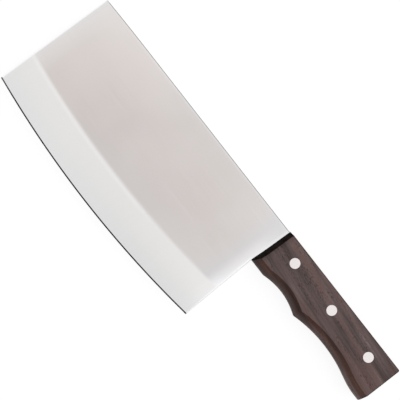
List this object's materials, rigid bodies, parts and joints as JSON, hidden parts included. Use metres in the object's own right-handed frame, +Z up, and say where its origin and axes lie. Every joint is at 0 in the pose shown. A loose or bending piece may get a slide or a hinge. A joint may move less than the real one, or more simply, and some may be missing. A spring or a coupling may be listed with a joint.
{
  "type": "japanese cleaver",
  "caption": "Wide rectangular kitchen cleaver with a gently bowed edge, ground bevels, a full tang and riveted wooden handle scales with finger hollows, for slicing and chopping.",
  "frame": {"origin": "centre of the knife's box in plan, on the surface that the handle's back scale lies on", "axes": "+X from the blade's tip to the handle's butt, +Y from the edge to the spine, +Z up out of the pictured side"},
  "size_m": [0.347, 0.1052, 0.02],
  "materials": {
    "blade_steel": "fine satin grind, with a brighter ground bevel along the edge",
    "handle_wood": "dark rosewood, oiled, with fine lengthwise grain and dark pores",
    "rivet_metal": "bright, sanded flush with the wood"
  },
  "bodies": {
    "root": {"blade": "blade_steel", "front_scale": "handle_wood", "back_scale": "handle_wood", "front_rivet_pin": "rivet_metal", "front_rivet_tube": "rivet_metal", "middle_rivet_pin": "rivet_metal", "middle_rivet_tube": "rivet_metal", "rear_rivet_pin": "rivet_metal", "rear_rivet_tube": "rivet_metal"}
  },
  "joints": []
}
